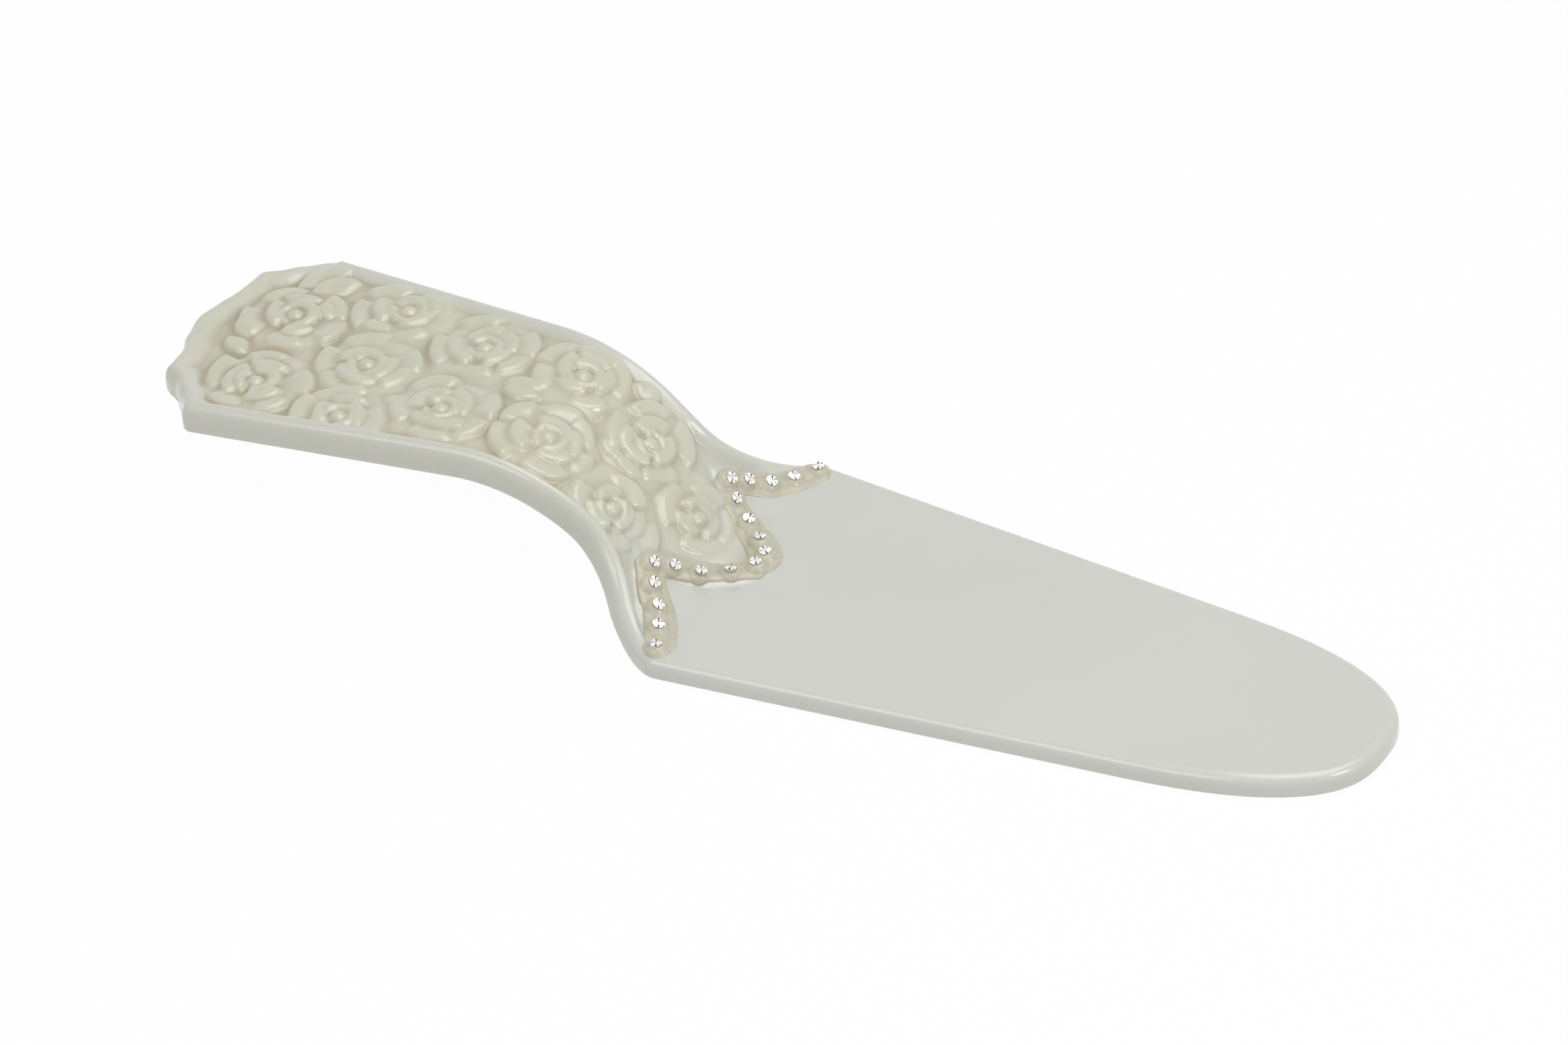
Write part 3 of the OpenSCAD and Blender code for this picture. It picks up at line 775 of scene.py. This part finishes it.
# %% Porcelain with its two glazes
SATIN, SATIN_LIGHT = (0.575, 0.585, 0.53, 1), (0.595, 0.605, 0.555, 1)
PEARL, PEARL_WARM = (0.545, 0.545, 0.425, 1), (0.575, 0.56, 0.45, 1)
# painted shade for grooves and hollows, mixed with the beige of pooled glaze
THICK_GLAZE_AND_SHADE = (0.40, 0.36, 0.24, 1)

porcelain, shader = new_material("pearl_glazed_porcelain")
cloud = mottle(porcelain, 18.0)
cloudy = stretched(porcelain, cloud.outputs["Fac"], 0.35, 0.65)
satin = blend_colours(porcelain, cloudy, SATIN, SATIN_LIGHT)
lustre = mottle(porcelain, 160.0, 2.0)
warm = stretched(porcelain, lustre.outputs["Fac"], 0.4, 0.62)
pearl = blend_colours(porcelain, warm, PEARL, PEARL_WARM)
shade_and_pool_share = add(porcelain, "ShaderNodeAttribute", attribute_name="shade_and_pool")
on_roses = add(porcelain, "ShaderNodeAttribute", attribute_name="pearl")
# grooves and hollows get painted shade, together with the beige of pooled glaze
pearl = blend_colours(porcelain, shade_and_pool_share.outputs["Fac"], pearl, THICK_GLAZE_AND_SHADE)
glaze = blend_colours(porcelain, on_roses.outputs["Fac"], satin, pearl)
join(porcelain, glaze, shader.inputs["Base Color"])
shader.inputs["Roughness"].default_value = 0.42
shader.inputs["Coat Weight"].default_value = 0.9
shader.inputs["Coat Roughness"].default_value = 0.12
shader.inputs["Subsurface Weight"].default_value = 0.2
shader.inputs["Subsurface Radius"].default_value = (1.0, 0.9, 0.7)
shader.inputs["Subsurface Scale"].default_value = 0.0015
grain = mottle(porcelain, 900.0, 4.0)
bump = add(porcelain, "ShaderNodeBump")
bump.inputs["Strength"].default_value = 0.12
bump.inputs["Distance"].default_value = 0.0001
join(porcelain, grain.outputs["Fac"], bump.inputs["Height"])
join(porcelain, bump.outputs["Normal"], shader.inputs["Normal"])
casting.data.materials.append(porcelain)

# %% [markdown]
# ## The ribbon of gel
# The stones sit in a flat ribbon of clear gel that was piped by hand along a zigzag and rose
# into a dome round each stone. A piped bead has no corners and no even edge, so it is made
# from many small drops, three abreast, that are melted together with the Remesh modifier
# and then smoothed, the way the gel ran.

# %% Places of the stones along the border
def stone_places():
    one_side = [(ROOT + BORDER_DEPTH * a, b * SHOULDER_WIDTH / 2) for a, b in STONE_SHARES]
    return one_side + [(s, -y) for s, y in one_side[::-1]]


BORDER_SIDE = 8
under_border = (upper_s > ROOT - BORDER_SIDE) & (upper_s < ROOT + BORDER_DEPTH + BORDER_SIDE)
BORDER_S, BORDER_Y, BORDER_H = (grid[under_border] for grid in (upper_s, upper_y, upper_h))


def surface(s, y):
    """Height of the casting's upper face under the border, read from its nearest vertex."""
    return float(BORDER_H[np.argmin((BORDER_S - s) ** 2 + (BORDER_Y - y) ** 2)])


STONES = stone_places()
# how far the middle of the hand-piped ribbon wanders from each stone
WANDER = [
    (0, 0), (0, 0), (0, 0), (0.1, 0), (-0.6, -0.2), (-0.2, 0.5), (0, 0.3), (-0.1, 0.2), (-0.3, 0),
    (0, 0.4), (1.1, 1.4), (1.2, 1.6), (0.7, 1.1), (-0.1, 0.4), (-0.6, 0.4), (-0.7, 0.5), (-0.7, 0.5),
    (-0.6, 0.3),
]
RIBBON = [(s + ds, y + dy) for (s, y), (ds, dy) in zip(STONES, WANDER)]
# it ends a little past the last stone, by shares like those of the stones
LAST_SHARES = (0.22, 0.93)
RIBBON.append((ROOT + BORDER_DEPTH * LAST_SHARES[0], -LAST_SHARES[1] * SHOULDER_WIDTH / 2))


def frame_at(s, y, h):
    """A matrix whose Z is the sheet's normal at that place, in metres."""
    a = float(follow(s)[2])
    place = Vector(bend(np.array([s]), np.array([y]), np.array([h]))[0])
    return Matrix.Translation(place) @ Matrix.Rotation(a, 4, "Y")


# %% Drops of gel, melted together
GEL_ROOT, DROP_STEP, SPREAD, END_SPREAD = 0.35, 0.6, 2.15, 1.0
# widths and heights
SIDE_DROP, MIDDLE_DROP, TURN_DROP = (2.7, 0.45), (3.6, 0.85), (5.8, 0.7)
DOME_WIDTH, DOME_HEIGHT, DOME_DRIFT, DOME_LOSS = 5.2, 1.8, 0.25, 0.1
UNEVEN_PLACE, UNEVEN_WIDTH, UNEVEN_HEIGHT = (-0.1, 0.1), (0.97, 1.04), (0.96, 1.04)
GEL_VOXEL, GEL_ROUNDS = 0.0002, 6


def drop(bm, s, y, width, height):
    spot = frame_at(s, y, surface(s, y) - GEL_ROOT)
    shape = Matrix.Diagonal((width / 2 * MM, width / 2 * MM, (height + GEL_ROOT) * MM, 1))
    bmesh.ops.create_icosphere(bm, subdivisions=3, radius=1.0, matrix=spot @ shape)


def melted(piece, voxel, rounds):
    remesh = piece.modifiers.new("melt", "REMESH")
    remesh.mode, remesh.voxel_size = "VOXEL", voxel
    remesh.use_smooth_shade = True
    smooth = piece.modifiers.new("smooth", "SMOOTH")
    smooth.factor, smooth.iterations = 0.5, rounds
    evaluated = piece.evaluated_get(bpy.context.evaluated_depsgraph_get())
    shaped = bpy.data.meshes.new_from_object(evaluated)
    piece.modifiers.clear()
    piece.data = shaped
    return piece


uneven = random.Random(7)
bm = bmesh.new()
for number, ((s0, y0), (s1, y1)) in enumerate(zip(RIBBON[:-1], RIBBON[1:])):
    length = math.hypot(s1 - s0, y1 - y0)
    aside = ((y0 - y1) / length, (s1 - s0) / length)
    spread = SPREAD if number < len(RIBBON) - 2 else END_SPREAD
    steps = max(2, int(length / DROP_STEP))
    for k in range(steps):
        s, y = s0 + (s1 - s0) * (k / steps), y0 + (y1 - y0) * (k / steps)
        for side in (-1, 0, 1):
            off = side * spread + uneven.uniform(*UNEVEN_PLACE)
            width, height = SIDE_DROP if side else MIDDLE_DROP
            width *= uneven.uniform(*UNEVEN_WIDTH)
            height *= uneven.uniform(*UNEVEN_HEIGHT)
            drop(bm, s + aside[0] * off, y + aside[1] * off, width, height)
for s, y in RIBBON[:-1]:
    drop(bm, s, y, *TURN_DROP)
for (s, y), (ds, dy) in zip(STONES, WANDER):
    height = DOME_HEIGHT - DOME_LOSS * math.hypot(ds, dy)
    drop(bm, s + DOME_DRIFT * ds, y + DOME_DRIFT * dy, DOME_WIDTH, height)
gel = melted(as_piece(bm, "gel_ribbon"), GEL_VOXEL, GEL_ROUNDS)
print("gel ribbon:", len(gel.data.polygons), "faces")
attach(gel, "root")
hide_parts("setting_band")

# %% Gel material
GEL, GEL_WARM = (0.59, 0.57, 0.45, 1), (0.61, 0.575, 0.465, 1)
GEL_DEEP = (0.545, 0.515, 0.395, 1)

gel_clear, shader = new_material("clear_beige_gel")
haze = mottle(gel_clear, 420.0, 4.0)
swirl = mottle(gel_clear, 170.0, 2.0)
warm = stretched(gel_clear, swirl.outputs["Fac"], 0.38, 0.62)
tint = blend_colours(gel_clear, warm, GEL, GEL_WARM)
hazy = stretched(gel_clear, haze.outputs["Fac"], 0.56, 0.74)
tint = blend_colours(gel_clear, hazy, tint, GEL_DEEP)
join(gel_clear, tint, shader.inputs["Base Color"])
shader.inputs["Roughness"].default_value = 0.14
shader.inputs["IOR"].default_value = 1.43
shader.inputs["Transmission Weight"].default_value = 0.08
shader.inputs["Subsurface Weight"].default_value = 0.35
shader.inputs["Subsurface Radius"].default_value = (1.0, 0.9, 0.7)
shader.inputs["Subsurface Scale"].default_value = 0.001
bump = add(gel_clear, "ShaderNodeBump")
bump.inputs["Strength"].default_value = 0.25
bump.inputs["Distance"].default_value = 0.0002
join(gel_clear, haze.outputs["Fac"], bump.inputs["Height"])
join(gel_clear, bump.outputs["Normal"], shader.inputs["Normal"])
gel.data.materials.append(gel_clear)

# %% [markdown]
# ## The stones
# Each stone is a small round brilliant with foil behind it, so from above it looks like a
# ragged fan of bright mirrors with a short dark bow across the middle. It is cut from a
# circle of vertices at uneven angles: the rim is extruded down for the girdle, the top is
# inset for the table and poked into a fan, and every facet is inset once more. The narrow
# frames that this leaves are the grey lines between the mirrors. A short list gives each facet's tone:
# bright foil mirror, grey as a painted dim reflection, and near black as the painted dark reflection of
# the bow.

# %% One stone
FAN = [0, 26, 54, 80, 100, 127, 153, 180, 206, 234, 260, 280, 307, 334]
# 0 is a bright foil mirror, 1 grey as a painted dim reflection and 2 near black as the painted dark
# reflection of the bow
GREY = 1
TABLE_TONES = [0, 1, 0, 2, 0, 0, 1, 0, 0, 0, 2, 0, 1, 0]
CROWN_TONES = [0, 0, 1, 1, 0, 1, 0, 0, 1, 0, 1, 0, 0, 1]
STONE, GIRDLE_LIFT, GIRDLE_DEPTH, BOW = 2.6, 1.4, 0.5, 121.0
TABLE_INSET, TABLE_RISE, RAGGED_RISE, POINT_RISE = 0.18, 0.36, 0.13, 0.1
FRAME_WIDTH, FRAME_DEPTH = 0.035, 0.015
TURN, LEAN = 22, 7


def cut_stone(name, s, y, turn, lean):
    bm = bmesh.new()
    girdle = bmesh.ops.create_circle(bm, cap_ends=True, segments=len(FAN), radius=STONE / 2)["verts"]
    for v, angle in zip(girdle, FAN):
        a = math.radians(angle)
        v.co = Vector((math.cos(a), math.sin(a), 0)) * STONE / 2
    table = bm.faces[:][0]
    if table.normal.z < 0:
        table.normal_flip()
    bmesh.ops.inset_region(bm, faces=[table], thickness=STONE * TABLE_INSET, depth=0.0)
    bmesh.ops.translate(bm, verts=table.verts, vec=(0, 0, TABLE_RISE))
    bmesh.ops.translate(bm, verts=list(table.verts)[::2], vec=(0, 0, RAGGED_RISE))
    fan = bmesh.ops.poke(bm, faces=[table], offset=0.0)
    bmesh.ops.translate(bm, verts=fan["verts"], vec=(0, 0, POINT_RISE))
    facets = bm.faces[:]
    for f in facets:
        centre = f.calc_center_median()
        angle = math.degrees(math.atan2(centre.y, centre.x)) % 360
        number = max(k for k, start in enumerate(FAN) if start <= angle)
        f.material_index = (TABLE_TONES if f in fan["faces"] else CROWN_TONES)[number]
    framed = bmesh.ops.inset_individual(bm, faces=facets, thickness=FRAME_WIDTH, depth=-FRAME_DEPTH)
    for f in framed["faces"]:
        f.material_index = GREY
    rim = [e for e in bm.edges if e.is_boundary]
    down = bmesh.ops.extrude_edge_only(bm, edges=rim)["geom"]
    low = [v for v in down if isinstance(v, bmesh.types.BMVert)]
    bmesh.ops.translate(bm, verts=low, vec=(0, 0, -GIRDLE_DEPTH))
    bmesh.ops.contextual_create(bm, geom=low)
    bmesh.ops.recalc_face_normals(bm, faces=bm.faces)
    spot = frame_at(s, y, surface(s, y) + GIRDLE_LIFT)
    leaned = Matrix.Rotation(math.radians(lean), 4, "X")
    pose = leaned @ Matrix.Rotation(math.radians(turn + BOW - 90), 4, "Z")
    bmesh.ops.transform(bm, matrix=spot @ pose @ Matrix.Scale(MM, 4), verts=bm.verts)
    return as_piece(bm, name)


# %% Bright foil, and facets painted grey and near black as dim and dark reflections
def foil_material(name, dull, clean, scale):
    material, shader = new_material(name)
    speckle = mottle(material, scale, 1.0)
    span = stretched(material, speckle.outputs["Fac"], 0.34, 0.44)
    join(material, blend_colours(material, span, dull, clean), shader.inputs["Base Color"])
    shader.inputs["Metallic"].default_value = 1.0
    shader.inputs["Roughness"].default_value = 0.08
    return material


bright = foil_material("foil_bright", (0.72, 0.73, 0.70, 1), (0.98, 0.985, 0.98, 1), 2300.0)
# grey for the frames between facets, and for facets painted as a dim reflection
grey = foil_material("grey_joints_and_painted_dim_reflection", (0.36, 0.35, 0.31, 1), (0.62, 0.60, 0.53, 1), 1900.0)
# near black facets: the painted dark reflection that draws the bow
dark, shader = new_material("painted_dark_reflection_bow")
deep = mottle(dark, 900.0, 1.0)
tone = blend_colours(dark, deep.outputs["Fac"], (0.01, 0.01, 0.01, 1), (0.05, 0.05, 0.05, 1))
join(dark, tone, shader.inputs["Base Color"])
shader.inputs["Roughness"].default_value = 0.3
shader.inputs["Specular IOR Level"].default_value = 0.2

turned = random.Random(11)
for number, (s, y) in enumerate(STONES, 1):
    turn, lean = turned.uniform(-TURN, TURN), turned.uniform(-LEAN, LEAN)
    stone = cut_stone(f"cut_stone_{number:02d}", s, y, turn, lean)
    for material in (bright, grey, dark):
        stone.data.materials.append(material)
    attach(stone, "root")
    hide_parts(f"crystal_{number:02d}")
print("stones:", len(STONES))

# %% [markdown]
# ## Floor, light and camera
# The server lies on its blade on a plain white floor. A pale world gives the even light of
# a light tent, and three large soft lamps draw the long highlights along the rims. The camera
# stands far away with a long lens, as in the photograph, so parallel edges stay parallel.

# %% Floor and world
FLOOR_SIZE, FLOOR_DROP, FLOOR_GLOW, WORLD_LIGHT = 3.0, 0.0002, 0.97, 0.42

bm = bmesh.new()
bmesh.ops.create_grid(bm, x_segments=2, y_segments=2, size=FLOOR_SIZE)
bmesh.ops.translate(bm, verts=bm.verts, vec=(0, 0, -FLOOR_DROP))
floor = as_piece(bm, "floor")
white, shader = new_material("white_floor")
paper = mottle(white, 40.0)
tone = blend_colours(white, paper.outputs["Fac"], (0.79, 0.79, 0.79, 1), (0.81, 0.81, 0.81, 1))
join(white, tone, shader.inputs["Base Color"])
shader.inputs["Roughness"].default_value = 0.9


def seen_directly(tree):
    """A share that is 1 for what the camera, a gloss or a clear piece shows, and 0 for light."""
    path = tree.nodes.new("ShaderNodeLightPath")
    gloss = tree.nodes.new("ShaderNodeMath")
    gloss.operation = "MAXIMUM"
    both = tree.nodes.new("ShaderNodeMath")
    both.operation = "MAXIMUM"
    tree.links.new(path.outputs["Is Glossy Ray"], gloss.inputs[0])
    tree.links.new(path.outputs["Is Transmission Ray"], gloss.inputs[1])
    tree.links.new(path.outputs["Is Camera Ray"], both.inputs[0])
    tree.links.new(gloss.outputs["Value"], both.inputs[1])
    return both.outputs["Value"]


glow = add(white, "ShaderNodeEmission")
blend = add(white, "ShaderNodeMixShader")
share = add(white, "ShaderNodeMath", operation="MULTIPLY")
share.inputs[1].default_value = FLOOR_GLOW
output = next(n for n in white.node_tree.nodes if n.type == "OUTPUT_MATERIAL")
join(white, seen_directly(white.node_tree), share.inputs[0])
join(white, share.outputs["Value"], blend.inputs[0])
join(white, shader.outputs["BSDF"], blend.inputs[1])
join(white, glow.outputs["Emission"], blend.inputs[2])
join(white, blend.outputs["Shader"], output.inputs["Surface"])
floor.data.materials.append(white)

world = bpy.data.worlds.new("light_tent")
bpy.context.scene.world = world
world.use_nodes = True
sky = world.node_tree.nodes["Background"]
sky.inputs["Color"].default_value = (1, 1, 1, 1)
strength = world.node_tree.nodes.new("ShaderNodeMapRange")
strength.inputs["To Min"].default_value = WORLD_LIGHT
world.node_tree.links.new(seen_directly(world.node_tree), strength.inputs["Value"])
world.node_tree.links.new(strength.outputs["Result"], sky.inputs["Strength"])


# %% Lamps
def soft_lamp(name, place, target, width, height, power):
    data = bpy.data.lights.new(name, "AREA")
    data.shape, data.size, data.size_y, data.energy = "RECTANGLE", width, height, power
    lamp = bpy.data.objects.new(name, data)
    lamp.location = place
    lamp.rotation_euler = (Vector(place) - Vector(target)).to_track_quat("Z", "Y").to_euler()
    bpy.context.scene.collection.objects.link(lamp)
    return lamp


soft_lamp("overhead", (0.25, 0.1, 1.1), (0, 0, 0), 1.0, 0.7, 5.6)
soft_lamp("right", (1.25, -0.2, 0.85), (-0.03, 0, 0), 0.5, 0.4, 4.2)
soft_lamp("front", (-0.25, -1.2, 0.9), (-0.03, 0, 0), 0.9, 0.6, 4.0)

# %% Camera
AZIMUTH, ELEVATION, ROLL = math.radians(30.97), math.radians(35.38), math.radians(-3.62)
AIM, DISTANCE, LENS = Vector((-0.01065, 0.02133, 0.0)), 2.0, 224.0
level = math.cos(ELEVATION)
back = Vector((math.sin(AZIMUTH) * level, -math.cos(AZIMUTH) * level, math.sin(ELEVATION)))
camera_data = bpy.data.cameras.new("camera")
camera_data.sensor_width, camera_data.lens = 36.0, LENS
camera_data.clip_start, camera_data.clip_end = 0.1, 20.0
camera = bpy.data.objects.new("camera", camera_data)
camera.location = AIM + back * DISTANCE
camera.rotation_mode = "QUATERNION"
camera.rotation_quaternion = Quaternion(back, ROLL) @ back.to_track_quat("Z", "Y")
bpy.context.scene.collection.objects.link(camera)
bpy.context.scene.camera = camera
bpy.context.scene.view_settings.view_transform = "Standard"
